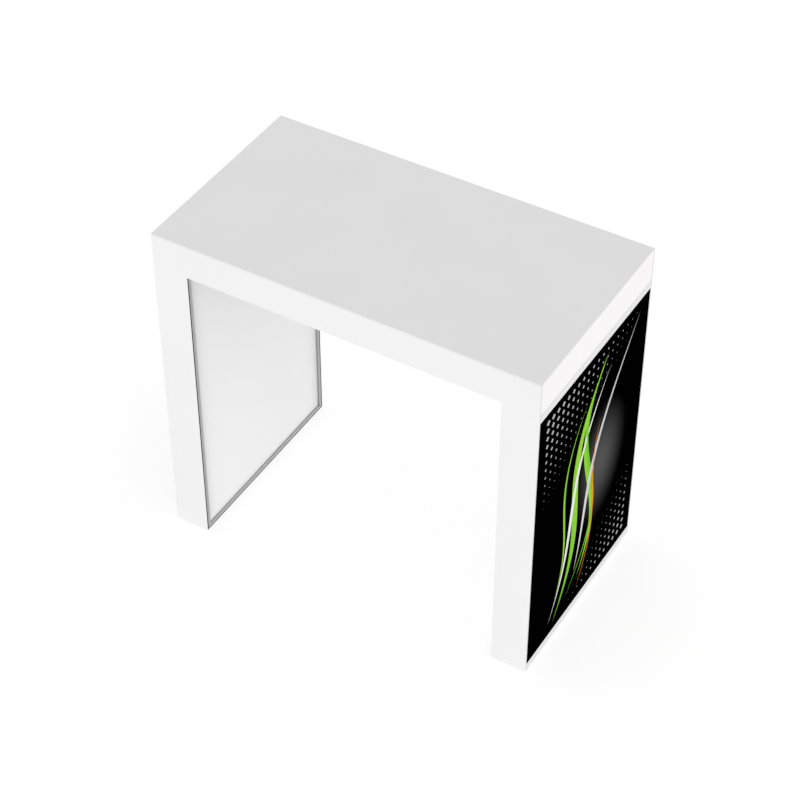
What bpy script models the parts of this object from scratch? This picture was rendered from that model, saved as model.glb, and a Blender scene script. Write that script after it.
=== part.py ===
"""Exhibition counter, in metres, +Z up, with its origin on the floor under the middle of the counter.

A box-shaped worktop stands on two slab legs. Sheets clad an aluminium frame. On its inner side each leg shows
that frame round a sunk white panel, and on its outer side it carries a printed panel between two strips.
Four levelling feet screw out of the legs. +X is the right-hand end and -Y is the front.
"""
import math

import bmesh
import bpy
from mathutils import Matrix, Vector

# Overall sizes
COUNTER_WIDTH = 1.100
COUNTER_DEPTH = 0.590
COUNTER_HEIGHT = 1.000
LEG_THICKNESS = 0.1025
TOP_BOX_HEIGHT = 0.100

# Sheets and boards
SHEET = 0.004
BOARD = 0.018
INNER_PANEL_THICKNESS = 0.003
EDGE_ROUND = 0.0005
EDGE_STEPS = 2

# Clearances
SEAT_GAP = 0.0003
BORE_CLEARANCE = 0.0003
FLOOR_CLEARANCE = 0.002
LEG_JOINT_GAP = 0.0015
CUT_OVERRUN = 0.002
MERGE_DISTANCE = 0.00005

# Outer side of a leg
UPPER_STRIP_DROP = 0.024
LOWER_STRIP_TOP = 0.027

# Leg frame extrusion
LAND_WIDTH = 0.0105
FRAME_WALL = 0.002
PANEL_RECESS = 0.004
OUTER_FLANGE = 0.025
EXTRUSION_ROUND = 0.0003
EXTRUSION_STEPS = 2

# Box frame extrusion and ribs
BEAM_FLANGE = 0.040
BEAM_WALL = 0.0025
RIB_FLANGE = 0.025
RIB_WALL = 0.002
RIB_COUNT = 2

# Corner brackets
BRACKET_ARM = 0.035
BRACKET_THICKNESS = 0.003
LEG_BRACKET_WIDTH = 0.060
BOX_BRACKET_HEIGHT = 0.060
BRACKET_HOLE_RADIUS = 0.0027

# Joint bolts between a leg and the top box
BOLT_RADIUS = 0.004
BOLT_FLATS = 0.013
BOLT_HEAD = 0.0053
BOLT_NUT = 0.0065
BOLT_TAIL = 0.004
BOLT_SPACING = 0.300

# Levelling feet
FOOT_INSET = 0.065
FOOT_TRAVEL = 0.012
STUD_RADIUS = 0.004
STUD_SPARE = 0.008
STUD_CHAMFER = 0.0008
PAD_RADIUS = 0.015
PAD_CHAMFER = 0.001
PAD_BORE_DEPTH = 0.003
PAD_HOLE_CLEARANCE = 0.001
FOOT_PLATE_WIDTH = 0.036
FOOT_PLATE_HEIGHT = 0.008

# Facets round a full circle
HOLE_SIDES = 24
TURNED_SIDES = 32
HEX_SIDES = 6

# Planes that the pieces share
HALF_WIDTH = COUNTER_WIDTH / 2
HALF_DEPTH = COUNTER_DEPTH / 2
HALF_LEG = LEG_THICKNESS / 2
CORE_HALF_WIDTH = HALF_WIDTH - SHEET - SEAT_GAP
CORE_HALF_DEPTH = HALF_DEPTH - SHEET - SEAT_GAP
LEG_CENTRE = HALF_WIDTH - HALF_LEG
KNEE_HALF_WIDTH = HALF_WIDTH - LEG_THICKNESS
BOX_BOTTOM = COUNTER_HEIGHT - TOP_BOX_HEIGHT
CLADDING_TOP = COUNTER_HEIGHT - SHEET - SEAT_GAP
BOARD_BOTTOM = CLADDING_TOP - BOARD
BEAM_BOTTOM = BOX_BOTTOM + SHEET + SEAT_GAP
BEAM_HEIGHT = BOARD_BOTTOM - SEAT_GAP - BEAM_BOTTOM
BASE_TOP = FLOOR_CLEARANCE + SHEET
FRAME_BOTTOM = BASE_TOP + SEAT_GAP
FRAME_TOP = BOX_BOTTOM - SEAT_GAP
FRAME_DEPTH = LEG_THICKNESS - SHEET - SEAT_GAP
PANEL_BACK = PANEL_RECESS + INNER_PANEL_THICKNESS
RIB_FLOOR = PANEL_BACK + SEAT_GAP
MITRE_PULL = SEAT_GAP / math.sqrt(2)
FOOT_Y = HALF_DEPTH - FOOT_INSET
FOOT_PLATE_BOTTOM = FRAME_BOTTOM + FRAME_WALL + SEAT_GAP
FOOT_PLATE_TOP = FOOT_PLATE_BOTTOM + FOOT_PLATE_HEIGHT
BOLT_Y = BOLT_SPACING / 2
BOLT_X = CORE_HALF_WIDTH - BEAM_FLANGE / 2

X, Y, Z = Vector((1, 0, 0)), Vector((0, 1, 0)), Vector((0, 0, 1))

# Colour, roughness and metallic value of each kind of piece
FINISHES = {
    "white_sheet": ((0.87, 0.87, 0.87), 0.38, 0.0),
    "pale_strip": ((0.76, 0.76, 0.76), 0.42, 0.0),
    "grey_backing": ((0.24, 0.24, 0.24), 0.42, 0.0),
    "white_panel": ((0.88, 0.88, 0.88), 0.55, 0.0),
    "print": ((0.004, 0.004, 0.004), 0.50, 0.0),
    "silver": ((0.43, 0.43, 0.43), 0.36, 1.0),
    "mill_aluminium": ((0.60, 0.61, 0.62), 0.45, 1.0),
    "zinc_steel": ((0.48, 0.49, 0.50), 0.35, 1.0),
    "plywood": ((0.52, 0.37, 0.22), 0.70, 0.0),
    "black_plastic": ((0.02, 0.02, 0.022), 0.50, 0.0),
}


def new_collection(name):
    collection = bpy.data.collections.new(name)
    bpy.context.scene.collection.children.link(collection)
    return collection


def add_finish(part, kind):
    colour, roughness, metallic = FINISHES[kind]
    material = bpy.data.materials.new(part.name + "_finish")
    material.use_nodes = True
    shader = material.node_tree.nodes["Principled BSDF"]
    shader.inputs["Base Color"].default_value = (*colour, 1.0)
    shader.inputs["Roughness"].default_value = roughness
    shader.inputs["Metallic"].default_value = metallic
    part.data.materials.clear()
    part.data.materials.append(material)


def add_part(name, mesh, kind, parent=None, place=None):
    part = bpy.data.objects.new(name, mesh)
    parts.objects.link(part)
    part.parent = parent
    part.matrix_local = place or Matrix.Identity(4)
    add_finish(part, kind)
    return part


def axes_matrix(first, second, origin):
    """Local X along first and local Y along second, with the local origin at origin."""
    third = first.cross(second)
    return Matrix.Translation(origin) @ Matrix((first, second, third)).transposed().to_4x4()


def evaluated_mesh(thing):
    bpy.context.view_layer.update()
    graph = bpy.context.evaluated_depsgraph_get()
    return bpy.data.meshes.new_from_object(thing.evaluated_get(graph))


def block_mesh(size):
    mesh = bpy.data.meshes.new("block")
    shape = bmesh.new()
    bmesh.ops.create_cube(shape, size=1.0, matrix=Matrix.Diagonal((*size, 1.0)))
    shape.to_mesh(mesh)
    shape.free()
    return mesh


def rod_mesh(radius, length, sides):
    mesh = bpy.data.meshes.new("rod")
    shape = bmesh.new()
    bmesh.ops.create_cone(shape, cap_ends=True, segments=sides, radius1=radius, radius2=radius, depth=length)
    shape.to_mesh(mesh)
    shape.free()
    return mesh


def prism_mesh(outline, thickness):
    """The outline in the local XY plane, extruded by half the thickness to each side."""
    curve = bpy.data.curves.new("outline", "CURVE")
    curve.dimensions = "2D"
    curve.fill_mode = "BOTH"
    curve.extrude = thickness / 2
    spline = curve.splines.new("POLY")
    spline.points.add(len(outline) - 1)
    for point, (x, y) in zip(spline.points, outline):
        point.co = (x, y, 0.0, 1.0)
    spline.use_cyclic_u = True
    guide = bpy.data.objects.new("outline", curve)
    bpy.context.scene.collection.objects.link(guide)
    mesh = evaluated_mesh(guide)
    bpy.data.objects.remove(guide)
    shape = bmesh.new()
    shape.from_mesh(mesh)
    bmesh.ops.remove_doubles(shape, verts=shape.verts, dist=MERGE_DISTANCE)
    bmesh.ops.recalc_face_normals(shape, faces=shape.faces)
    shape.to_mesh(mesh)
    shape.free()
    return mesh


def round_edges(part, width, steps):
    bevel = part.modifiers.new("edges", "BEVEL")
    bevel.width = width
    bevel.segments = steps
    bevel.limit_method = "ANGLE"


def add_slab(name, low, high, kind, parent=None, rounded=True):
    """A sheet, board or plate between two corners, in its parent's frame."""
    low, high = Vector(low), Vector(high)
    part = add_part(name, block_mesh(high - low), kind, parent, Matrix.Translation((low + high) / 2))
    if rounded:
        round_edges(part, EDGE_ROUND, EDGE_STEPS)
    return part


def drill(part, radius, centre, depth, parent=None, turn=None):
    """Cuts a round hole through the part, centred on a point of its parent's frame, along Z unless turned."""
    cutter = bpy.data.objects.new(part.name + "_hole", rod_mesh(radius, depth + 2 * CUT_OVERRUN, HOLE_SIDES))
    cutters.objects.link(cutter)
    cutter.parent = parent
    cutter.matrix_local = Matrix.Translation(centre) @ (turn or Matrix.Identity(4))
    cutter.hide_render = True
    cutter.display_type = "WIRE"
    cut = part.modifiers.new("hole", "BOOLEAN")
    cut.operation = "DIFFERENCE"
    cut.solver = "EXACT"
    cut.object = cutter


def turned_part(name, profile, kind, parent, place):
    """Turns a profile of radius and height round Z. It runs from the axis, down the outer side, to the axis."""
    mesh = bpy.data.meshes.new(name)
    shape = bmesh.new()
    corners = [shape.verts.new((radius, 0.0, height)) for radius, height in profile]
    for start, end in zip(corners, corners[1:]):
        shape.edges.new((start, end))
    shape.to_mesh(mesh)
    shape.free()
    part = add_part(name, mesh, kind, parent, place)
    screw = part.modifiers.new("turn", "SCREW")
    screw.steps = TURNED_SIDES
    screw.render_steps = TURNED_SIDES
    screw.use_merge_vertices = True
    screw.merge_threshold = MERGE_DISTANCE
    screw.use_smooth_shade = True
    return part


def channel_outline(flange, height, wall):
    """A C-shaped section with its web along local Y and both flanges along +X."""
    return [(0, 0), (flange, 0), (flange, wall), (wall, wall), (wall, height - wall),
            (flange, height - wall), (flange, height), (0, height)]


def leg_frame_outline():
    """The leg frame's section: X runs in from the leg's edge, Y runs from its inner side to its outer side.

    The land shows on the inner side. Its return lip and the rib behind it make the slot for the inner panel,
    and the far flange carries the printed panel and the strips.
    """
    lip_end = PANEL_RECESS - SEAT_GAP
    rib_back = RIB_FLOOR + FRAME_WALL
    return [(0, 0), (LAND_WIDTH, 0), (LAND_WIDTH, lip_end), (LAND_WIDTH - FRAME_WALL, lip_end),
            (LAND_WIDTH - FRAME_WALL, FRAME_WALL), (FRAME_WALL, FRAME_WALL),
            (FRAME_WALL, RIB_FLOOR), (LAND_WIDTH, RIB_FLOOR), (LAND_WIDTH, rib_back), (FRAME_WALL, rib_back),
            (FRAME_WALL, FRAME_DEPTH - FRAME_WALL), (OUTER_FLANGE, FRAME_DEPTH - FRAME_WALL),
            (OUTER_FLANGE, FRAME_DEPTH), (0, FRAME_DEPTH)]


def add_mitred_bar(name, outline, length, kind, inward, across, corner, parent=None):
    """A bar of a mitred frame. Its section's X points inward, and corner is the middle of its outer edge.

    The ends are sheared by the section's own X, which turns them to 45 degrees.
    """
    mesh = prism_mesh(outline, length - 2 * MITRE_PULL)
    for vertex in mesh.vertices:
        vertex.co.z += vertex.co.x if vertex.co.z < 0 else -vertex.co.x
    return add_part(name, mesh, kind, parent, axes_matrix(inward, across, corner))


def add_bracket(name, width, first, second, corner, parent=None):
    """An angle bracket in a frame's corner, with its arms along first and second and a hole in each arm."""
    arm, wall = BRACKET_ARM, BRACKET_THICKNESS
    outline = [(0, 0), (arm, 0), (arm, wall), (wall, wall), (wall, arm), (0, arm)]
    place = axes_matrix(first, second, corner)
    part = add_part(name, prism_mesh(outline, width), "zinc_steel", parent, place)
    middle = (arm + wall) / 2
    for spot, turn_axis in (((middle, wall / 2, 0), "X"), ((wall / 2, middle, 0), "Y")):
        turn = place.to_3x3().to_4x4() @ Matrix.Rotation(math.pi / 2, 4, turn_axis)
        drill(part, BRACKET_HOLE_RADIUS, place @ Vector(spot), wall, parent, turn)
    return part


def fascia_outline():
    """The arch seen from the front: the beam and both legs in one sheet."""
    return [(-HALF_WIDTH, FLOOR_CLEARANCE), (-KNEE_HALF_WIDTH, FLOOR_CLEARANCE), (-KNEE_HALF_WIDTH, BOX_BOTTOM),
            (KNEE_HALF_WIDTH, BOX_BOTTOM), (KNEE_HALF_WIDTH, FLOOR_CLEARANCE), (HALF_WIDTH, FLOOR_CLEARANCE),
            (HALF_WIDTH, CLADDING_TOP), (-HALF_WIDTH, CLADDING_TOP)]


def add_fascias():
    for name, end in (("front_fascia", -1), ("back_fascia", 1)):
        middle = end * (HALF_DEPTH - SHEET / 2) * Y
        part = add_part(name, prism_mesh(fascia_outline(), SHEET), "white_sheet", None, axes_matrix(X, Z, middle))
        round_edges(part, EDGE_ROUND, EDGE_STEPS)


def add_worktop():
    add_slab("worktop_skin", (-HALF_WIDTH, -HALF_DEPTH, COUNTER_HEIGHT - SHEET),
             (HALF_WIDTH, HALF_DEPTH, COUNTER_HEIGHT), "white_sheet")
    add_slab("worktop_board", (-CORE_HALF_WIDTH, -CORE_HALF_DEPTH, BOARD_BOTTOM),
             (CORE_HALF_WIDTH, CORE_HALF_DEPTH, CLADDING_TOP), "plywood", rounded=False)


def add_end_bands():
    for name, side in (("right_end_band", 1), ("left_end_band", -1)):
        inner, outer = side * (HALF_WIDTH - SHEET), side * HALF_WIDTH
        add_slab(name, (min(inner, outer), -CORE_HALF_DEPTH, BOX_BOTTOM),
                 (max(inner, outer), CORE_HALF_DEPTH, CLADDING_TOP), "white_sheet")


def add_underside():
    panel = add_slab("underside_panel", (-CORE_HALF_WIDTH, -CORE_HALF_DEPTH, BOX_BOTTOM),
                     (CORE_HALF_WIDTH, CORE_HALF_DEPTH, BOX_BOTTOM + SHEET), "grey_backing")
    for side in (-1, 1):
        for end in (-1, 1):
            centre = Vector((side * BOLT_X, end * BOLT_Y, BOX_BOTTOM + SHEET / 2))
            drill(panel, BOLT_RADIUS + BORE_CLEARANCE, centre, SHEET)


def add_box_frame():
    outline = channel_outline(BEAM_FLANGE, BEAM_HEIGHT, BEAM_WALL)
    bars = (("front_beam", Y, 2 * CORE_HALF_WIDTH), ("back_beam", -Y, 2 * CORE_HALF_WIDTH),
            ("right_end_beam", -X, 2 * CORE_HALF_DEPTH), ("left_end_beam", X, 2 * CORE_HALF_DEPTH))
    for name, inward, length in bars:
        corner = Vector((-inward.x * CORE_HALF_WIDTH, -inward.y * CORE_HALF_DEPTH, BEAM_BOTTOM))
        beam = add_mitred_bar(name, outline, length, "mill_aluminium", inward, Z, corner)
        if inward.x:
            for end in (-1, 1):
                centre = Vector((-inward.x * BOLT_X, end * BOLT_Y, BEAM_BOTTOM + BEAM_WALL / 2))
                drill(beam, BOLT_RADIUS + BORE_CLEARANCE, centre, BEAM_WALL)


def add_box_brackets():
    inset = BEAM_WALL + SEAT_GAP
    for side_name, side in (("right", 1), ("left", -1)):
        for end_name, end in (("front", -1), ("back", 1)):
            corner = Vector((side * (CORE_HALF_WIDTH - inset), end * (CORE_HALF_DEPTH - inset),
                             BEAM_BOTTOM + BEAM_HEIGHT / 2))
            add_bracket(f"{side_name}_{end_name}_box_bracket", BOX_BRACKET_HEIGHT, -side * X, -end * Y, corner)


def add_ribs():
    """Ribs at even spaces from end to end, with their flanges towards the middle of the counter."""
    length = 2 * (CORE_HALF_DEPTH - BEAM_FLANGE - SEAT_GAP)
    for number in range(RIB_COUNT):
        share = (number + 1) / (RIB_COUNT + 1)
        inward = X if 2 * share < 1 else -X
        corner = Vector((COUNTER_WIDTH * share - HALF_WIDTH, 0, BEAM_BOTTOM)) - inward * RIB_FLANGE / 2
        mesh = prism_mesh(channel_outline(RIB_FLANGE, BEAM_HEIGHT, RIB_WALL), length)
        add_part(f"cross_rib_{number + 1}", mesh, "mill_aluminium", None, axes_matrix(inward, Z, corner))


def add_leg_frame(side_name, leg, turn):
    outline = leg_frame_outline()
    middle_height = (FRAME_BOTTOM + FRAME_TOP) / 2
    upright, level = FRAME_TOP - FRAME_BOTTOM, 2 * CORE_HALF_DEPTH
    bars = []
    for end in (-1, 1):
        end_name = "front" if end * turn < 0 else "back"
        corner = Vector((-HALF_LEG, end * CORE_HALF_DEPTH, middle_height))
        bars.append(add_mitred_bar(f"{side_name}_leg_{end_name}_post", outline, upright, "silver",
                                   -end * Y, X, corner, leg))
    bottom = add_mitred_bar(f"{side_name}_leg_bottom_rail", outline, level, "silver", Z, X,
                            Vector((-HALF_LEG, 0, FRAME_BOTTOM)), leg)
    top = add_mitred_bar(f"{side_name}_leg_top_rail", outline, level, "silver", -Z, X,
                         Vector((-HALF_LEG, 0, FRAME_TOP)), leg)
    for bar in (*bars, bottom, top):
        round_edges(bar, EXTRUSION_ROUND, EXTRUSION_STEPS)
    for end in (-1, 1):
        foot = Vector((0, end * FOOT_Y, FRAME_BOTTOM + FRAME_WALL / 2))
        drill(bottom, STUD_RADIUS + BORE_CLEARANCE, foot, FRAME_WALL, leg)
        bolt = Vector((BOLT_X - LEG_CENTRE, end * BOLT_Y, FRAME_TOP - FRAME_WALL / 2))
        drill(top, BOLT_RADIUS + BORE_CLEARANCE, bolt, FRAME_WALL, leg)


def add_leg_brackets(side_name, leg, turn):
    inset = FRAME_WALL + SEAT_GAP
    channel_start = RIB_FLOOR + FRAME_WALL
    channel_end = FRAME_DEPTH - FRAME_WALL
    across = (channel_start + channel_end) / 2 - HALF_LEG
    for end in (-1, 1):
        end_name = "front" if end * turn < 0 else "back"
        for level_name, height, up in (("bottom", FRAME_BOTTOM + inset, Z), ("top", FRAME_TOP - inset, -Z)):
            corner = Vector((across, end * (CORE_HALF_DEPTH - inset), height))
            add_bracket(f"{side_name}_leg_{end_name}_{level_name}_bracket", LEG_BRACKET_WIDTH,
                        -end * Y, up, corner, leg)


def add_leg_panels(side_name, leg):
    slot = FRAME_WALL + SEAT_GAP
    add_slab(f"{side_name}_inner_panel",
             (PANEL_RECESS - HALF_LEG, slot - CORE_HALF_DEPTH, FRAME_BOTTOM + slot),
             (PANEL_BACK - HALF_LEG, CORE_HALF_DEPTH - slot, FRAME_TOP - slot), "white_panel", leg)
    face, back = HALF_LEG, HALF_LEG - SHEET
    strip_bottom = BOX_BOTTOM - UPPER_STRIP_DROP
    bands = (("lower_strip", FLOOR_CLEARANCE, LOWER_STRIP_TOP, "pale_strip"),
             ("graphic_panel", LOWER_STRIP_TOP + SEAT_GAP, strip_bottom - SEAT_GAP, "print"),
             ("upper_strip", strip_bottom, BOX_BOTTOM - LEG_JOINT_GAP, "pale_strip"))
    for band, low, high, kind in bands:
        add_slab(f"{side_name}_{band}", (back, -CORE_HALF_DEPTH, low), (face, CORE_HALF_DEPTH, high), kind, leg)
    base = add_slab(f"{side_name}_base_panel", (-HALF_LEG, -CORE_HALF_DEPTH, FLOOR_CLEARANCE),
                    (back - SEAT_GAP, CORE_HALF_DEPTH, BASE_TOP), "white_sheet", leg)
    for end in (-1, 1):
        foot = Vector((0, end * FOOT_Y, FLOOR_CLEARANCE + SHEET / 2))
        drill(base, PAD_RADIUS + PAD_HOLE_CLEARANCE, foot, SHEET, leg)


def add_foot(prefix, leg, y):
    """A levelling foot, fully screwed in: its pad stops against the bottom rail."""
    place = Matrix.Translation((0, y, 0))
    bore = STUD_RADIUS + BORE_CLEARANCE
    bore_floor = BASE_TOP - PAD_BORE_DEPTH
    pad = [(0, bore_floor), (bore, bore_floor), (bore, BASE_TOP), (PAD_RADIUS, BASE_TOP),
           (PAD_RADIUS, PAD_CHAMFER), (PAD_RADIUS - PAD_CHAMFER, 0), (0, 0)]
    turned_part(f"{prefix}_foot_pad", pad, "black_plastic", leg, place)
    stud_bottom = bore_floor + SEAT_GAP
    stud_top = FOOT_PLATE_TOP + FOOT_TRAVEL + STUD_SPARE
    stud = [(0, stud_top), (STUD_RADIUS - STUD_CHAMFER, stud_top), (STUD_RADIUS, stud_top - STUD_CHAMFER),
            (STUD_RADIUS, stud_bottom), (0, stud_bottom)]
    turned_part(f"{prefix}_foot_stud", stud, "zinc_steel", leg, place)
    half = FOOT_PLATE_WIDTH / 2
    plate = add_slab(f"{prefix}_foot_plate", (-half, y - half, FOOT_PLATE_BOTTOM),
                     (half, y + half, FOOT_PLATE_TOP), "zinc_steel", leg, rounded=False)
    centre = Vector((0, y, (FOOT_PLATE_BOTTOM + FOOT_PLATE_TOP) / 2))
    drill(plate, bore, centre, FOOT_PLATE_HEIGHT, leg)


def add_joint_bolt(name, leg, y):
    """A bolt with its nut run up: head under the leg's top rail, nut on the end beam's lower flange."""
    hex_radius = BOLT_FLATS / 2 / math.cos(math.pi / HEX_SIDES)
    head_top = FRAME_TOP - FRAME_WALL - SEAT_GAP
    nut_bottom = BEAM_BOTTOM + BEAM_WALL + SEAT_GAP
    shank_bottom = head_top - BOLT_HEAD / 2
    shank_top = nut_bottom + BOLT_NUT + BOLT_TAIL
    bolt = bpy.data.objects.new(name + "_shank", rod_mesh(BOLT_RADIUS, shank_top - shank_bottom, HOLE_SIDES))
    bpy.context.scene.collection.objects.link(bolt)
    middle = (shank_top + shank_bottom) / 2
    ends = []
    for height, centre in ((BOLT_HEAD, head_top - BOLT_HEAD / 2), (BOLT_NUT, nut_bottom + BOLT_NUT / 2)):
        end = bpy.data.objects.new(name + "_hex", rod_mesh(hex_radius, height, HEX_SIDES))
        bpy.context.scene.collection.objects.link(end)
        end.location.z = centre - middle
        join = bolt.modifiers.new("join", "BOOLEAN")
        join.operation = "UNION"
        join.solver = "EXACT"
        join.object = end
        ends.append(end)
    mesh = evaluated_mesh(bolt)
    for used in (bolt, *ends):
        bpy.data.objects.remove(used)
    add_part(name, mesh, "zinc_steel", leg, Matrix.Translation((BOLT_X - LEG_CENTRE, y, middle)))


def add_leg(side_name, turn):
    """The right leg as it stands, or the left leg as the same leg turned half way round."""
    leg = bpy.data.objects.new(f"{side_name}_leg", None)
    parts.objects.link(leg)
    leg.location.x = turn * LEG_CENTRE
    leg.rotation_euler.z = 0 if turn > 0 else math.pi
    add_leg_frame(side_name, leg, turn)
    add_leg_brackets(side_name, leg, turn)
    add_leg_panels(side_name, leg)
    for end in (-1, 1):
        prefix = f"{side_name}_{'front' if end * turn < 0 else 'back'}"
        add_foot(prefix, leg, end * FOOT_Y)
        add_joint_bolt(f"{prefix}_joint_bolt", leg, end * BOLT_Y)


for thing in list(bpy.data.objects):
    bpy.data.objects.remove(thing, do_unlink=True)
parts = new_collection("exhibition_counter")
cutters = new_collection("cutters")
add_worktop()
add_fascias()
add_end_bands()
add_underside()
add_box_frame()
add_box_brackets()
add_ribs()
add_leg("right", 1)
add_leg("left", -1)
bpy.context.view_layer.update()
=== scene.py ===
"""Looks of the exhibition counter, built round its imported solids. Metres, +Z up, -Y is the front."""
import math

import bmesh
import bpy
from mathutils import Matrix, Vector


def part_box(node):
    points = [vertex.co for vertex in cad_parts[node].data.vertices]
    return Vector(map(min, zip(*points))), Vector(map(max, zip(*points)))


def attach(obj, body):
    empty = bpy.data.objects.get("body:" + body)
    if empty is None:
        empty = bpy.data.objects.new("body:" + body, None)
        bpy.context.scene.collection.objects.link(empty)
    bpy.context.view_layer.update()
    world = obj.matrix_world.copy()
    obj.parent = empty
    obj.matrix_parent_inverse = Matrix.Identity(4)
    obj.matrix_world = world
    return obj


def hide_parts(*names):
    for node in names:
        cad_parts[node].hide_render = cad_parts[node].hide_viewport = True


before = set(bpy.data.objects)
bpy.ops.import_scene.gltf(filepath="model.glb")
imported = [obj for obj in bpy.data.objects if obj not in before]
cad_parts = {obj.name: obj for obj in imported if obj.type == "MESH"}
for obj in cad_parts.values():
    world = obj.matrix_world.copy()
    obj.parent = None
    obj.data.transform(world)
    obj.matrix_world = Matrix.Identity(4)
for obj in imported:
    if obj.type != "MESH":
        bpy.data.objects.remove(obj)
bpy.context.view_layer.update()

# Camera, fitted to the photograph's corners without shift or roll. Angles are in degrees
CAMERA_PLACE = (2.219, -3.722, 4.423)
CAMERA_YAW = 30.865
CAMERA_PITCH = 42.391
CAMERA_LENS = 100.3

# Floor: how white it is and how much it glows, in itself and as the camera and reflections see it
FLOOR_HALF = 30.0
FLOOR_DROP = 0.0005
FLOOR_WHITE = 0.82
SEEN_FLOOR = 0.26
FLOOR_GLOW = 0.43
SEEN_FLOOR_GLOW = 0.81

# World, and a key light that comes from the direction KEY_FROM and is KEY_SPREAD degrees wide
HORIZON_LIGHT = 0.88
ZENITH_LIGHT = 0.735
KEY_FROM = (0.128, -0.095, 0.015)
KEY_AWAY = 4
KEY_SPREAD = 50.0
KEY_STRENGTH = 0.68

# Colours, linear
WHITE_SHEET = (0.875, 0.873, 0.874)
END_WHITE = (0.893, 0.876, 0.884)
PALE_STRIP = (0.760, 0.760, 0.760)
INNER_WHITE = (0.915, 0.915, 0.915)
BACKING = (0.22, 0.22, 0.22)
SHEET_CORE = (0.010, 0.010, 0.011)
OUTER_EDGE = (0.70, 0.70, 0.70)
SILVER = (0.425, 0.427, 0.430)
RAIL_SILVER = (0.474, 0.476, 0.480)
MILL = (0.56, 0.57, 0.58)
ZINC = (0.48, 0.50, 0.52)
PLY_LIGHT = (0.58, 0.42, 0.26)
PLY_DARK = (0.40, 0.26, 0.14)
BLACK_PLASTIC = (0.018, 0.018, 0.020)
PRINT_BLACK = (0.0003, 0.0003, 0.0003)
PRINT_GREEN = (0.16, 0.52, 0.03)
PRINT_LIME = (0.36, 0.66, 0.06)
PRINT_WHITE = (0.80, 0.80, 0.80)
PRINT_ORANGE = (0.80, 0.26, 0.01)
PRINT_GREY = (0.42, 0.41, 0.41)
PRINT_GLOW = (0.085, 0.083, 0.083)

# Below, a noise's scale says how many of its features lie along a metre: one number for all directions,
# one for each axis, or one across and one along the grain. A relief is the depth of a bump in metres,
# and a shade is a share of a colour. A range is the part of a noise that a colour or roughness follows
SOFT_RANGE = (0.3, 0.7)
SHARP_RANGE = (0.35, 0.65)
SPECK_RANGE = (0.4, 0.8)
PLAIN_IOR = 1.45
CLOUD_SHADE = 0.985

# Lacquered sheet, and its cut edges between two thin skins
SHEET_SPECULAR = 0.32
SHEET_CLOUDS = 5.0
SHEET_WIPES = (9.0, 9.0, 2.2)
SHEET_PEEL = 420.0
SHEET_GRAIN = 1900.0
SHEET_GRAIN_SHARE = 0.4
SHEET_ROUGHNESS = (0.34, 0.44)
SHEET_RELIEF = 0.00002
SKIN = 0.0001
CUT_SHADE = 0.8
CUT_ROUGHNESS = 0.7
FACING_COSINE = 0.6

# Matt inner panel, and the painted shade along the leg frame's silver land, which is LAND_WIDTH wide
PANEL_SPECULAR = 0.35
PANEL_CLOUDS = 3.5
PANEL_STIPPLE = 1300.0
PANEL_ROUGHNESS = (0.52, 0.64)
PANEL_RELIEF = 0.00003
LAND_WIDTH = 0.0105
FRAME_SHADE_REACH = 0.016
BOTTOM_SHADE_REACH = 0.005
PAINTED_SHADE_SHARE = 0.70
SHADE_DRIFT_SCALE = 24.0
SHADE_DRIFT_SHARES = (0.85, 1.0)

# Drawn metal: fine die lines on broad bands. Mill aluminium is rougher than the anodised leg frame
DIE_LINES = (2600.0, 4.0)
DIE_BANDS = (160.0, 1.5)
LINE_SHARE = 0.6
BAND_SHARE = 0.4
MILL_FINISH = {"roughness": (0.38, 0.52), "contrast": 0.14, "depth": 0.00002}

# Zinc plate
ZINC_FLECKS = 520.0
ZINC_GRAIN = 2400.0
ZINC_SHADES = (0.8, 1.15)
ZINC_ROUGHNESS = (0.26, 0.44)
ZINC_RELIEF = 0.00001

# Birch ply. Each ply is half a turn of a wave up the board, which makes it 0.75 mm thick
WOOD_SPECULAR = 0.3
WOOD_GRAIN = (70.0, 3.0)
WOOD_PORES = (1400.0, 40.0)
WOOD_ROUGHNESS = (0.6, 0.8)
WOOD_RELIEF = 0.00004
PLY_RADIANS_PER_METRE = 4200.0

# Moulded black plastic
MOULDED_IOR = 1.5
MOULDED_SPARK = 1500.0
MOULDED_SPECKS = 60.0
MOULDED_ROUGHNESS = (0.45, 0.65)
MOULDED_RELIEF = 0.00003
SPECK_SHADE = 2.2

# Ribbons of the print: start, lean and sway across the panel, turn, low and high share of its height,
# half width, colours at the lower and the upper end
RIBBONS = (
    (-0.215, 0.330, 0.072, 0.60, 0.03, 0.95, 0.0160, PRINT_GREEN, PRINT_LIME),
    (-0.120, 0.250, 0.090, 0.35, 0.09, 0.945, 0.0105, PRINT_LIME, PRINT_GREEN),
    (-0.255, 0.420, 0.058, 0.85, 0.045, 0.89, 0.0080, PRINT_WHITE, PRINT_WHITE),
    (-0.165, 0.330, 0.105, 0.15, 0.06, 0.86, 0.0060, PRINT_GREEN, PRINT_GREEN),
    (-0.150, 0.400, 0.050, 1.15, 0.14, 0.96, 0.0090, PRINT_WHITE, PRINT_GREY),
    (-0.285, 0.380, 0.085, 0.72, 0.12, 0.84, 0.0052, PRINT_LIME, PRINT_GREEN),
    (-0.105, 0.330, 0.075, 0.75, 0.035, 0.72, 0.0034, PRINT_ORANGE, PRINT_ORANGE),
)
RIBBON_RADIANS = 5.6
SHADE_ALONG = 0.6
SHADE_ACROSS = 0.4

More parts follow.
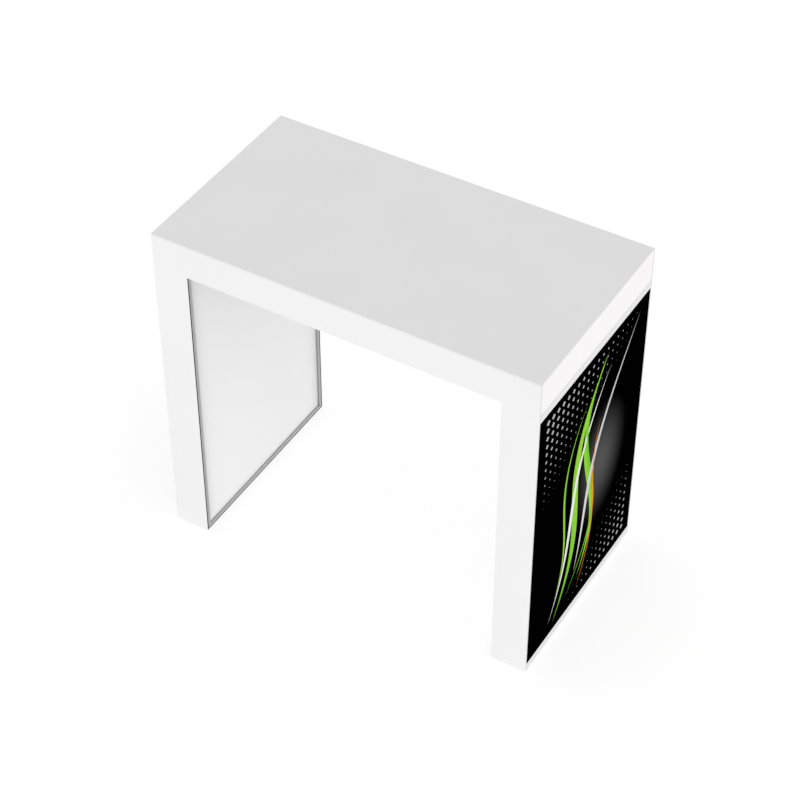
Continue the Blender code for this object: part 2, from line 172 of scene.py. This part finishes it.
# Two fields of diamonds on a square grid. Each has the corner that it starts from, as the panel's low or
# high side and low or high end, its direction, its reach, and its largest diamond as a share of the grid
DOT_FIELDS = (
    (0, 1, 0.5, -0.87, 0.33, 0.44),
    (1, 0, -0.6, 0.8, 0.28, 0.41),
)
DOT_PITCH = 0.026
DOT_BORDER = 0.020
INK_EDGE = 0.0006
GLOW_ACROSS = (-0.08, 0.22)
GLOW_UP = (0.24, 0.68)
FILM_GRAIN = 900.0
FILM_ROUGHNESS = (0.5, 0.62)
FILM_RELIEF = 0.00002

# Meshes: points nearer than WELD become one, and edges sharper than SHARP_ANGLE degrees stay sharp
WELD = 1e-7
SHARP_ANGLE = 32

# Foot pad: radius, height and shape of each point, from the middle of its sole to its stud's seat.
# Where its shape is a grip, flutes cut up to GRIP_DEPTH_SHARE off the radius
PAD_SIDES = 72
GRIP_FLUTES = 12
GRIP_DEPTH_SHARE = 0.05
PAD_RADIUS = 0.015
PAD_HEIGHT = 0.006
PAD_SEAT = 0.0031
PAD_GROOVE = 0.0008
PAD_SHOULDER = PAD_HEIGHT * 0.93
PAD_PROFILE = (
    (0.0, PAD_GROOVE, "round"),
    (0.0030, PAD_GROOVE, "round"),
    (0.0034, 0.0, "round"),
    (0.0056, 0.0, "round"),
    (0.0060, PAD_GROOVE, "round"),
    (0.0084, PAD_GROOVE, "round"),
    (0.0088, 0.0, "round"),
    (PAD_RADIUS * 0.88, 0.0, "round"),
    (PAD_RADIUS * 0.97, PAD_GROOVE, "grip"),
    (PAD_RADIUS, 2 * PAD_GROOVE, "grip"),
    (PAD_RADIUS, PAD_HEIGHT * 0.72, "grip"),
    (PAD_RADIUS * 0.97, PAD_HEIGHT * 0.86, "grip"),
    (PAD_RADIUS * 0.86, PAD_SHOULDER, "round"),
    (0.0085, PAD_SHOULDER, "round"),
    (0.0080, PAD_HEIGHT, "round"),
    (0.0048, PAD_HEIGHT, "round"),
    (0.0043, PAD_SHOULDER, "round"),
    (0.0043, PAD_SEAT, "round"),
    (0.0, PAD_SEAT, "round"),
)

# Stud: its thread rises in equal steps, and each has its share of the thread's depth
STUD_SIDES = 16
STUD_RADIUS = 0.004
THREAD_PITCH = 0.00125
THREAD_DEPTH = 0.00068
CREST_SHARES = (1.0, 0.5, 0.0, 0.5)

# Screw head: radius, height and shape of each point, from inside the panel to its hexagon's floor.
# The long rows have a screw at each step to either side of their middle
SCREW_SIDES = 24
SCREW_STEPS = range(-2, 3)
SCREW_PITCH = 0.18
SCREW_RADIUS = 0.0045
SCREW_HEIGHT = 0.0005
SCREW_SINK = 0.0001
SCREW_PROFILE = (
    (0.0, SCREW_SINK, "round"),
    (SCREW_RADIUS, SCREW_SINK, "round"),
    (SCREW_RADIUS, -SCREW_HEIGHT * 0.3, "round"),
    (SCREW_RADIUS * 0.86, -SCREW_HEIGHT, "round"),
    (SCREW_RADIUS * 0.42, -SCREW_HEIGHT, "hex"),
    (SCREW_RADIUS * 0.40, -SCREW_HEIGHT * 0.1, "hex"),
    (0.0, -SCREW_HEIGHT * 0.1, "round"),
)

# The first of these words that a node's name holds gives its finish
FINISH_RULES = (
    ("fascia", "fascia"),
    ("base_panel", "base"),
    ("strip", "strip"),
    ("inner_panel", "panel"),
    ("graphic_panel", "print"),
    ("post", "post"),
    ("rail", "rail"),
    ("front_beam", "beam_x"),
    ("back_beam", "beam_x"),
    ("end_beam", "beam_y"),
    ("rib", "beam_y"),
    ("bracket", "zinc"),
    ("bolt", "zinc"),
    ("stud", "zinc"),
    ("foot_plate", "zinc"),
    ("board", "ply"),
    ("pad", "black"),
    ("underside", "backing"),
    ("end_band", "band"),
    ("", "sheet"),
)


class Graph:
    """A material and short ways to add nodes to it."""

    def __init__(self, name, **fixed):
        """Starts a material. The fixed values go on the shader's own sockets."""
        self.material = bpy.data.materials.new(name)
        self.material.use_nodes = True
        self.tree = self.material.node_tree
        self.shader = self.tree.nodes["Principled BSDF"]
        coords = self.tree.nodes.new("ShaderNodeTexCoord")
        self.place = coords.outputs["Object"]
        self.normal = coords.outputs["Normal"]
        for socket, value in fixed.items():
            self.shader.inputs[socket.replace("_", " ")].default_value = value

    def feed(self, socket, value):
        """Sets a socket to a number or colour, or links it to another node's output."""
        if isinstance(value, bpy.types.NodeSocket):
            self.tree.links.new(value, socket)
        elif hasattr(value, "__len__") and len(value) == 3 and len(socket.default_value) == 4:
            socket.default_value = (*value, 1.0)
        else:
            socket.default_value = value

    def math(self, operation, *values):
        """The result of a Math node."""
        node = self.tree.nodes.new("ShaderNodeMath")
        node.operation = operation
        for socket, value in zip(node.inputs, values):
            self.feed(socket, value)
        return node.outputs[0]

    def between(self, value, low, high):
        """1 where the value is above low and below high, and 0 elsewhere."""
        above = self.math("GREATER_THAN", value, low)
        below = self.math("LESS_THAN", value, high)
        return self.math("MULTIPLY", above, below)

    def split(self, vector):
        """The three parts of a vector."""
        node = self.tree.nodes.new("ShaderNodeSeparateXYZ")
        self.feed(node.inputs[0], vector)
        return node.outputs

    def stretch(self, scale):
        """The place on the object, scaled along each axis."""
        node = self.tree.nodes.new("ShaderNodeMapping")
        self.feed(node.inputs["Vector"], self.place)
        node.inputs["Scale"].default_value = scale
        return node.outputs[0]

    def noise(self, vector, scale=1.0, detail=2.0, roughness=0.5):
        """A noise with values between 0 and 1."""
        node = self.tree.nodes.new("ShaderNodeTexNoise")
        self.feed(node.inputs["Vector"], vector)
        node.inputs["Scale"].default_value = scale
        node.inputs["Detail"].default_value = detail
        node.inputs["Roughness"].default_value = roughness
        return node.outputs["Fac"]

    def remap(self, value, low, high, new_low=0.0, new_high=1.0, smooth=False):
        """A value moved from one range to another and held inside it."""
        node = self.tree.nodes.new("ShaderNodeMapRange")
        node.interpolation_type = "SMOOTHSTEP" if smooth else "LINEAR"
        for socket, number in zip(node.inputs, (value, low, high, new_low, new_high)):
            self.feed(socket, number)
        return node.outputs[0]

    def blend(self, share, first, second):
        """The first colour where the share is 0, and the second where it is 1."""
        node = self.tree.nodes.new("ShaderNodeMix")
        node.data_type = "RGBA"
        for name, value in (("Factor_Float", share), ("A_Color", first), ("B_Color", second)):
            self.feed(next(s for s in node.inputs if s.identifier == name), value)
        return next(s for s in node.outputs if s.identifier == "Result_Color")

    def bump(self, height, relief, strength):
        """A normal that follows a height from 0 to 1, which stands for a relief in metres."""
        node = self.tree.nodes.new("ShaderNodeBump")
        node.inputs["Strength"].default_value = strength
        node.inputs["Distance"].default_value = relief
        self.feed(node.inputs["Height"], height)
        return node.outputs[0]

    def surface(self, colour, roughness, normal):
        """Feeds the shader and gives the finished material."""
        for name, value in (("Base Color", colour), ("Roughness", roughness), ("Normal", normal)):
            self.feed(self.shader.inputs[name], value)
        return self.material


def tone(colour, share):
    """A colour made darker or lighter."""
    return tuple(channel * share for channel in colour)


def drawn_out(axis, across, along):
    """Scales for a noise that is drawn out along one axis."""
    scales = [across] * 3
    scales[axis] = along
    return tuple(scales)


def coated_sheet(name, colour, *edges):
    """Lacquered composite sheet. Each of its edges is a function that says where it shows, and a colour."""
    g = Graph(name, IOR=PLAIN_IOR, Specular_IOR_Level=SHEET_SPECULAR)
    clouds = g.noise(g.place, SHEET_CLOUDS, detail=3.0)
    wiped = g.noise(g.stretch(SHEET_WIPES), detail=4.0, roughness=0.6)
    peel = g.noise(g.place, SHEET_PEEL)
    grain = g.noise(g.place, SHEET_GRAIN, detail=1.0)
    paint = g.blend(g.remap(clouds, *SOFT_RANGE), tone(colour, CLOUD_SHADE), colour)
    roughness = g.remap(wiped, *SOFT_RANGE, *SHEET_ROUGHNESS)
    height = g.math("ADD", peel, g.math("MULTIPLY", grain, SHEET_GRAIN_SHARE))
    normal = g.bump(height, SHEET_RELIEF, strength=0.6)
    for shows, edge_colour in edges:
        edge = shows(g)
        cut = g.blend(g.remap(grain, *SHARP_RANGE), tone(edge_colour, CUT_SHADE), edge_colour)
        paint = g.blend(edge, paint, cut)
        roughness = g.math("MAXIMUM", roughness, g.math("MULTIPLY", edge, CUT_ROUGHNESS))
    return g.surface(paint, roughness, normal)


def faces(g, axis, both=True):
    """Where the surface faces along an axis, either way or only towards the axis's low end."""
    lean = g.split(g.normal)[axis]
    towards = g.math("ABSOLUTE", lean) if both else g.math("MULTIPLY", lean, -1.0)
    return g.math("GREATER_THAN", towards, FACING_COSINE)


def between_skins(g, node, axis):
    """Where a place lies in a sheet's core, between its two thin skins, on either side of the counter."""
    low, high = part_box(node)
    return g.between(g.math("ABSOLUTE", g.split(g.place)[axis]), low[axis] + SKIN, high[axis] - SKIN)


def within_outline(g):
    """Everywhere but on the counter's two ends."""
    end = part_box("back_fascia")[1][0]
    return g.math("LESS_THAN", g.math("ABSOLUTE", g.split(g.place)[0]), end - SKIN)


def knee_edge(g):
    """The fascias' cut edges that face the knee space or the floor."""
    turned_in = g.math("MAXIMUM", g.math("MULTIPLY", faces(g, 0), within_outline(g)), faces(g, 2, False))
    return g.math("MULTIPLY", turned_in, between_skins(g, "back_fascia", 1))


def outer_edge(g):
    """The fascias' cut edges at the two ends of the counter."""
    turned_out = g.math("MULTIPLY", faces(g, 0), g.math("SUBTRACT", 1.0, within_outline(g)))
    return g.math("MULTIPLY", turned_out, between_skins(g, "back_fascia", 1))


def base_edge(g):
    """The base panels' cut edges, seen from inside the knee space."""
    return g.math("MULTIPLY", faces(g, 0), between_skins(g, "right_base_panel", 2))


def strip_edge(g):
    """The lower strips' cut edges, which face the floor."""
    return g.math("MULTIPLY", faces(g, 2, False), between_skins(g, "right_lower_strip", 0))


def beside_land(g):
    """1 next to the leg frame's silver land, and falling to 0 towards the middle of the inner panel: where
    the panel's painted shade lies.
    """
    low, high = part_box("left_leg_front_post")
    _, y, z = g.split(g.place)
    from_posts = g.math("SUBTRACT", -low[1] - LAND_WIDTH, g.math("ABSOLUTE", y))
    from_top = g.math("SUBTRACT", high[2] - LAND_WIDTH, z)
    from_bottom = g.math("SUBTRACT", z, low[2] + LAND_WIDTH)
    shares = []
    for away, reach in ((from_posts, FRAME_SHADE_REACH), (from_top, FRAME_SHADE_REACH), (from_bottom, BOTTOM_SHADE_REACH)):
        shares.append(g.math("EXPONENT", g.math("DIVIDE", g.math("MAXIMUM", away, 0.0), -reach)))
    return g.math("MAXIMUM", shares[0], g.math("MAXIMUM", *shares[1:]))


def matt_panel(name, colour):
    """Matt white plastic, with painted shade along the frame that holds it."""
    g = Graph(name, IOR=PLAIN_IOR, Specular_IOR_Level=PANEL_SPECULAR)
    clouds = g.noise(g.place, PANEL_CLOUDS, detail=4.0)
    drift = g.noise(g.place, SHADE_DRIFT_SCALE, detail=3.0)
    stipple = g.noise(g.place, PANEL_STIPPLE)
    unshaded = g.blend(g.remap(clouds, *SOFT_RANGE), tone(colour, CLOUD_SHADE), colour)
    # Painted shade: the panel's colour darkens next to the frame's land, unevenly along a noise
    painted_shade = g.math("MULTIPLY", beside_land(g), g.remap(drift, *SOFT_RANGE, *SHADE_DRIFT_SHARES))
    paint = g.blend(painted_shade, unshaded, tone(colour, PAINTED_SHADE_SHARE))
    roughness = g.remap(stipple, *SOFT_RANGE, *PANEL_ROUGHNESS)
    return g.surface(paint, roughness, g.bump(stipple, PANEL_RELIEF, strength=0.5))


def drawn_metal(name, colour, length_axis, roughness=(0.30, 0.42), contrast=0.10, depth=0.00001):
    """Extruded metal with fine die lines along its length."""
    g = Graph(name, Metallic=1.0)
    lines = g.noise(g.stretch(drawn_out(length_axis, *DIE_LINES)))
    bands = g.noise(g.stretch(drawn_out(length_axis, *DIE_BANDS)))
    mixed = g.math("ADD", g.math("MULTIPLY", lines, LINE_SHARE), g.math("MULTIPLY", bands, BAND_SHARE))
    light = g.remap(mixed, *SHARP_RANGE)
    paint = g.blend(light, tone(colour, 1 - contrast), tone(colour, 1 + contrast / 2))
    sheen = g.remap(mixed, *SHARP_RANGE, *roughness)
    return g.surface(paint, sheen, g.bump(lines, depth, strength=0.5))


def zinc_plate(name):
    """Bright zinc on steel, in small flecks with a fine grain."""
    g = Graph(name, Metallic=1.0)
    flecks = g.tree.nodes.new("ShaderNodeTexVoronoi")
    g.feed(flecks.inputs["Vector"], g.place)
    flecks.inputs["Scale"].default_value = ZINC_FLECKS
    tint = g.split(flecks.outputs["Color"])[0]
    fine = g.noise(g.place, ZINC_GRAIN)
    mean = g.math("ADD", g.math("MULTIPLY", tint, 0.5), g.math("MULTIPLY", fine, 0.5))
    paint = g.blend(mean, tone(ZINC, ZINC_SHADES[0]), tone(ZINC, ZINC_SHADES[1]))
    roughness = g.remap(fine, *SOFT_RANGE, *ZINC_ROUGHNESS)
    return g.surface(paint, roughness, g.bump(fine, ZINC_RELIEF, strength=0.5))


def plywood(name):
    """Birch ply: long grain on the faces, crossed plies on the edges."""
    g = Graph(name, IOR=PLAIN_IOR, Specular_IOR_Level=WOOD_SPECULAR)
    _, _, z = g.split(g.place)
    grain = g.noise(g.stretch(drawn_out(0, *WOOD_GRAIN)), detail=4.0, roughness=0.6)
    cross = g.noise(g.stretch(drawn_out(1, *WOOD_GRAIN)), detail=4.0, roughness=0.6)
    wave = g.math("SINE", g.math("MULTIPLY", z, PLY_RADIANS_PER_METRE))
    ply = g.math("GREATER_THAN", wave, 0.0)
    figure = g.math("ADD", g.math("MULTIPLY", grain, ply),
                    g.math("MULTIPLY", cross, g.math("SUBTRACT", 1.0, ply)))
    pores = g.noise(g.stretch(drawn_out(0, *WOOD_PORES)))
    paint = g.blend(g.remap(figure, *SOFT_RANGE), PLY_DARK, PLY_LIGHT)
    roughness = g.remap(pores, *SOFT_RANGE, *WOOD_ROUGHNESS)
    return g.surface(paint, roughness, g.bump(pores, WOOD_RELIEF, strength=0.6))


def moulded_black(name):
    """Black plastic with the fine grain of its mould and some paler specks."""
    g = Graph(name, IOR=MOULDED_IOR)
    spark = g.noise(g.place, MOULDED_SPARK)
    specks = g.noise(g.place, MOULDED_SPECKS, detail=4.0)
    paint = g.blend(g.remap(specks, *SPECK_RANGE), BLACK_PLASTIC, tone(BLACK_PLASTIC, SPECK_SHADE))
    roughness = g.remap(specks, *SOFT_RANGE, *MOULDED_ROUGHNESS)
    return g.surface(paint, roughness, g.bump(spark, MOULDED_RELIEF, strength=0.6))


def diamonds(g, u, z, low, high):
    """Two fields of small diamonds that fade from opposite corners of the print and stay off its rim."""

    def centre(value):
        """Middle of the grid's square that the value is in."""
        square = g.math("FLOOR", g.math("DIVIDE", value, DOT_PITCH))
        return g.math("MULTIPLY", g.math("ADD", square, 0.5), DOT_PITCH)

    dot_u, dot_z = centre(u), centre(z)
    beside = g.math("ADD", g.math("ABSOLUTE", g.math("SUBTRACT", u, dot_u)),
                    g.math("ABSOLUTE", g.math("SUBTRACT", z, dot_z)))
    ends = (low, high)
    fades = []
    for side, end, share_u, share_z, reach, size in DOT_FIELDS:
        away = g.math("ADD", g.math("MULTIPLY", g.math("SUBTRACT", dot_u, ends[side][1]), share_u),
                      g.math("MULTIPLY", g.math("SUBTRACT", dot_z, ends[end][2]), share_z))
        fades.append(g.remap(away, 0.0, reach, size * DOT_PITCH, 0.0))
    within = g.math("MULTIPLY", g.between(dot_u, low[1] + DOT_BORDER, high[1] - DOT_BORDER),
                    g.between(dot_z, low[2] + DOT_BORDER, high[2] - DOT_BORDER))
    half_dot = g.math("MULTIPLY", g.math("MAXIMUM", *fades), within)
    return g.remap(g.math("SUBTRACT", beside, half_dot), -INK_EDGE, 0.0, 1.0, 0.0)


def oval_glow(g, u, z):
    """A soft oval glow behind the ribbons."""
    aside = g.math("POWER", g.math("ABSOLUTE", g.remap(u, *GLOW_ACROSS, -1.0, 1.0)), 2.0)
    above = g.math("POWER", g.math("ABSOLUTE", g.remap(z, *GLOW_UP, -1.0, 1.0)), 2.0)
    return g.remap(g.math("SQRT", g.math("ADD", aside, above)), 1.0, 0.0, smooth=True)


def with_ribbon(g, ink, u, height, shape):
    """The ink with one ribbon over it, which sways as it climbs and thins out towards both ends."""
    start, lean, sway, turn, begin, end, half, first, last = shape
    phase = g.math("ADD", g.math("MULTIPLY", height, RIBBON_RADIANS), turn)
    wave = g.math("MULTIPLY", g.math("SINE", phase), sway)
    line = g.math("ADD", g.math("ADD", g.math("MULTIPLY", height, lean), start), wave)
    along = g.remap(height, begin, end)
    taper = g.math("MULTIPLY", g.math("MULTIPLY", along, g.math("SUBTRACT", 1.0, along)), 4.0 * half)
    across = g.math("SUBTRACT", u, line)
    out = g.math("SUBTRACT", g.math("ABSOLUTE", across), taper)
    shade = g.math("ADD", g.math("MULTIPLY", along, SHADE_ALONG),
                   g.remap(across, -half, half, 0.0, SHADE_ACROSS))
    return g.blend(g.remap(out, -INK_EDGE, 0.0, 1.0, 0.0), ink, g.blend(shade, first, last))


def printed_panel(name):
    """Black print with ribbons that sweep up across it, a glow behind them and two fields of diamonds."""
    low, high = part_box("right_graphic_panel")
    g = Graph(name, Specular_IOR_Level=0.0)
    x, y, z = g.split(g.place)
    u = g.math("MULTIPLY", y, g.math("SIGN", x))
    height = g.remap(z, low[2], high[2])
    dots = diamonds(g, u, z, low, high)
    glow = oval_glow(g, u, z)
    ink = g.blend(dots, g.blend(glow, PRINT_BLACK, PRINT_GLOW), PRINT_GREY)
    for shape in RIBBONS:
        ink = with_ribbon(g, ink, u, height, shape)
    film = g.noise(g.place, FILM_GRAIN)
    roughness = g.remap(film, *SOFT_RANGE, *FILM_ROUGHNESS)
    return g.surface(ink, roughness, g.bump(film, FILM_RELIEF, strength=0.4))


def finish_nodes():
    """Makes the materials, and gives every carried node its own."""
    fascia_edges = ((knee_edge, SHEET_CORE), (outer_edge, OUTER_EDGE))
    finishes = {
        "sheet": coated_sheet("coated_sheet", WHITE_SHEET),
        "band": coated_sheet("end_sheet", END_WHITE),
        "fascia": coated_sheet("fascia_sheet", WHITE_SHEET, *fascia_edges),
        "base": coated_sheet("base_sheet", WHITE_SHEET, (base_edge, SHEET_CORE)),
        "strip": coated_sheet("pale_sheet", PALE_STRIP, (strip_edge, SHEET_CORE)),
        "backing": coated_sheet("grey_backing", BACKING),
        "panel": matt_panel("inner_panel", INNER_WHITE),
        "post": drawn_metal("anodised_upright", SILVER, 2),
        "rail": drawn_metal("anodised_level", RAIL_SILVER, 1),
        "beam_x": drawn_metal("mill_lengthwise", MILL, 0, **MILL_FINISH),
        "beam_y": drawn_metal("mill_crosswise", MILL, 1, **MILL_FINISH),
        "zinc": zinc_plate("zinc_plate"),
        "ply": plywood("birch_ply"),
        "black": moulded_black("black_moulding"),
        "print": printed_panel("generic_print"),
    }
    for name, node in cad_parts.items():
        kind = next(finish for word, finish in FINISH_RULES if word in name)
        node.data.materials.clear()
        node.data.materials.append(finishes[kind])
    return finishes


def add_piece(name, mesh_data, material, place, body):
    """Turns a bmesh into a smooth-shaded piece that rides on a body."""
    bmesh.ops.remove_doubles(mesh_data, verts=mesh_data.verts, dist=WELD)
    bmesh.ops.recalc_face_normals(mesh_data, faces=mesh_data.faces)
    mesh = bpy.data.meshes.new(name)
    mesh_data.to_mesh(mesh)
    mesh_data.free()
    mesh.shade_smooth()
    mesh.set_sharp_from_angle(angle=math.radians(SHARP_ANGLE))
    mesh.materials.append(material)
    piece = bpy.data.objects.new(name, mesh)
    piece.location = place
    bpy.context.scene.collection.objects.link(piece)
    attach(piece, body)
    return piece


def turned(profile, sides):
    """A closed turned body. Each point is a radius, a height and a shape; the ends lie on the axis."""
    shapes = {
        "round": lambda angle: 1.0,
        "hex": lambda angle: 1 / math.cos((angle + math.pi / 6) % (math.pi / 3) - math.pi / 6),
        "grip": lambda angle: 1.0 - GRIP_DEPTH_SHARE * (0.5 - 0.5 * math.cos(GRIP_FLUTES * angle)) ** 2,
    }
    data = bmesh.new()
    rings = []
    for radius, height, shape in profile:
        angles = [2 * math.pi * k / sides for k in range(sides)] if radius else [0.0]
        rings.append([data.verts.new((radius * shapes[shape](a) * math.cos(a),
                                      radius * shapes[shape](a) * math.sin(a), height)) for a in angles])
    for lower, upper in zip(rings, rings[1:]):
        for k in range(sides):
            corners = [ring[i % sides] if len(ring) > 1 else ring[0]
                       for ring, i in ((lower, k), (lower, k + 1), (upper, k + 1), (upper, k))]
            data.faces.new(list(dict.fromkeys(corners)))
    return data


def threaded(low, high):
    """A rod with a screw thread that runs out at both ends."""
    data = bmesh.new()
    steps = len(CREST_SHARES)
    rows = math.ceil(steps * (high - low) / THREAD_PITCH) + steps + 2
    grid = []
    for row in range(-steps - 1, rows):
        ring = []
        for k in range(STUD_SIDES):
            height = low + (row + steps * k / STUD_SIDES) * THREAD_PITCH / steps
            inside = min(max(height, low), high)
            runout = min(1.0, min(inside - low, high - inside) / THREAD_PITCH)
            crest = CREST_SHARES[row % steps] * runout
            radius = STUD_RADIUS - THREAD_DEPTH * (1 - crest)
            angle = 2 * math.pi * k / STUD_SIDES
            ring.append(data.verts.new((radius * math.cos(angle), radius * math.sin(angle), inside)))
        grid.append(ring)
    for i in range(len(grid) - 1):
        for k in range(STUD_SIDES):
            lift = 0 if k + 1 < STUD_SIDES else steps
            if i + 1 + lift < len(grid):
                right = (k + 1) % STUD_SIDES
                data.faces.new((grid[i][k], grid[i + lift][right],
                                grid[i + 1 + lift][right], grid[i + 1][k]))
    bmesh.ops.remove_doubles(data, verts=data.verts, dist=WELD)
    bmesh.ops.dissolve_degenerate(data, edges=data.edges, dist=WELD)
    loose = [vertex for vertex in data.verts if not vertex.link_faces]
    bmesh.ops.delete(data, geom=loose, context="VERTS")
    bmesh.ops.holes_fill(data, edges=[edge for edge in data.edges if edge.is_boundary], sides=0)
    return data


def middle(node, axis):
    """Middle of a node's box along an axis."""
    low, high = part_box(node)
    return (low[axis] + high[axis]) / 2


def dress_feet(finishes):
    """Detailed pads and threaded studs in place of the plain ones."""
    for side in ("right", "left"):
        for end in ("front", "back"):
            foot = f"{side}_{end}_foot"
            place = (middle(foot + "_pad", 0), middle(foot + "_pad", 1), 0.0)
            pad = turned(PAD_PROFILE, PAD_SIDES)
            piece = add_piece(foot + "_grip_pad", pad, finishes["black"], place, foot)
            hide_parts(foot + "_pad")
            low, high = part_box(foot + "_stud")
            stud = threaded(low[2], high[2])
            piece = add_piece(foot + "_thread", stud, finishes["zinc"], place, foot)
            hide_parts(foot + "_stud")


def add_screws(finishes):
    """Low screw heads that hold the underside panel to the beams and ribs."""
    beam_y, rib_x = middle("back_beam", 1), middle("cross_rib_2", 0)
    places = [(SCREW_PITCH * step, side * beam_y) for step in SCREW_STEPS for side in (-1, 1)]
    places += [(side * rib_x, end * SCREW_PITCH / 2) for side in (-1, 1) for end in (-1, 1)]
    for number, (x, y) in enumerate(places, 1):
        head = turned(SCREW_PROFILE, SCREW_SIDES)
        place = (x, y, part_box("underside_panel")[0][2])
        add_piece(f"underside_screw_{number}", head, finishes["zinc"], place, "counter")


def add_floor():
    """A pale floor that shows white, keeps the counter's shadow and can't be seen from below."""
    mesh = bpy.data.meshes.new("floor")
    half = FLOOR_HALF
    corners = [(-half, -half, 0), (half, -half, 0), (half, half, 0), (-half, half, 0)]
    mesh.from_pydata(corners, [], [(0, 1, 2, 3)])
    floor = bpy.data.objects.new("floor", mesh)
    floor.location.z = -FLOOR_DROP
    bpy.context.scene.collection.objects.link(floor)
    g = Graph("floor")
    nodes, links = g.tree.nodes, g.tree.links
    nodes.remove(g.shader)
    path = nodes.new("ShaderNodeLightPath")
    direct = g.math("ADD", path.outputs["Is Camera Ray"], path.outputs["Is Glossy Ray"])
    seen = g.math("MINIMUM", g.math("ADD", direct, path.outputs["Is Transmission Ray"]), 1.0)
    diffuse = nodes.new("ShaderNodeBsdfDiffuse")
    g.feed(diffuse.inputs["Color"], g.blend(seen, (FLOOR_WHITE,) * 3, (SEEN_FLOOR,) * 3))
    glow = nodes.new("ShaderNodeEmission")
    g.feed(glow.inputs["Strength"], g.remap(seen, 0.0, 1.0, FLOOR_GLOW, SEEN_FLOOR_GLOW))
    added = nodes.new("ShaderNodeAddShader")
    links.new(diffuse.outputs[0], added.inputs[0])
    links.new(glow.outputs[0], added.inputs[1])
    clear = nodes.new("ShaderNodeBsdfTransparent")
    geometry = nodes.new("ShaderNodeNewGeometry")
    either = nodes.new("ShaderNodeMixShader")
    links.new(geometry.outputs["Backfacing"], either.inputs[0])
    links.new(added.outputs[0], either.inputs[1])
    links.new(clear.outputs[0], either.inputs[2])
    links.new(either.outputs[0], nodes["Material Output"].inputs[0])
    mesh.materials.append(g.material)


def add_world():
    """White to the camera and in reflections, and otherwise brighter at the horizon than above."""
    world = bpy.data.worlds.new("studio")
    world.use_nodes = True
    bpy.context.scene.world = world
    nodes, links = world.node_tree.nodes, world.node_tree.links
    coords = nodes.new("ShaderNodeTexCoord")
    split = nodes.new("ShaderNodeSeparateXYZ")
    links.new(coords.outputs["Generated"], split.inputs[0])
    slope = nodes.new("ShaderNodeMapRange")
    links.new(split.outputs["Z"], slope.inputs["Value"])
    slope.inputs["To Min"].default_value = HORIZON_LIGHT
    slope.inputs["To Max"].default_value = ZENITH_LIGHT
    path = nodes.new("ShaderNodeLightPath")
    direct = nodes.new("ShaderNodeMath")
    direct.operation = "ADD"
    links.new(path.outputs["Is Camera Ray"], direct.inputs[0])
    links.new(path.outputs["Is Glossy Ray"], direct.inputs[1])
    seen = nodes.new("ShaderNodeMath")
    seen.operation = "ADD"
    seen.use_clamp = True
    links.new(direct.outputs[0], seen.inputs[0])
    links.new(path.outputs["Is Transmission Ray"], seen.inputs[1])
    strength = nodes.new("ShaderNodeMix")
    links.new(seen.outputs[0], strength.inputs["Factor"])
    links.new(slope.outputs[0], strength.inputs["A"])
    strength.inputs["B"].default_value = 1.0
    background = nodes["Background"]
    links.new(strength.outputs["Result"], background.inputs["Strength"])
    background.inputs["Color"].default_value = (1.0, 1.0, 1.0, 1.0)


def add_key_light():
    """A wide, soft light from the front right, even over the whole counter."""
    data = bpy.data.lights.new("key_light", "SUN")
    data.angle = math.radians(KEY_SPREAD)
    data.energy = KEY_STRENGTH
    light = bpy.data.objects.new("key_light", data)
    light.location = Vector(KEY_FROM) * KEY_AWAY
    light.rotation_euler = (-Vector(KEY_FROM)).to_track_quat("-Z", "Y").to_euler()
    bpy.context.scene.collection.objects.link(light)


def add_camera():
    """The photograph's view, from the front right and above."""
    data = bpy.data.cameras.new("camera")
    data.lens = CAMERA_LENS
    camera = bpy.data.objects.new("camera", data)
    camera.location = CAMERA_PLACE
    camera.rotation_euler = (math.radians(90 - CAMERA_PITCH), 0.0, math.radians(CAMERA_YAW))
    bpy.context.scene.collection.objects.link(camera)
    bpy.context.scene.camera = camera


finishes = finish_nodes()
dress_feet(finishes)
add_screws(finishes)
add_floor()
add_world()
add_key_light()
add_camera()
bpy.context.scene.view_settings.view_transform = "Standard"
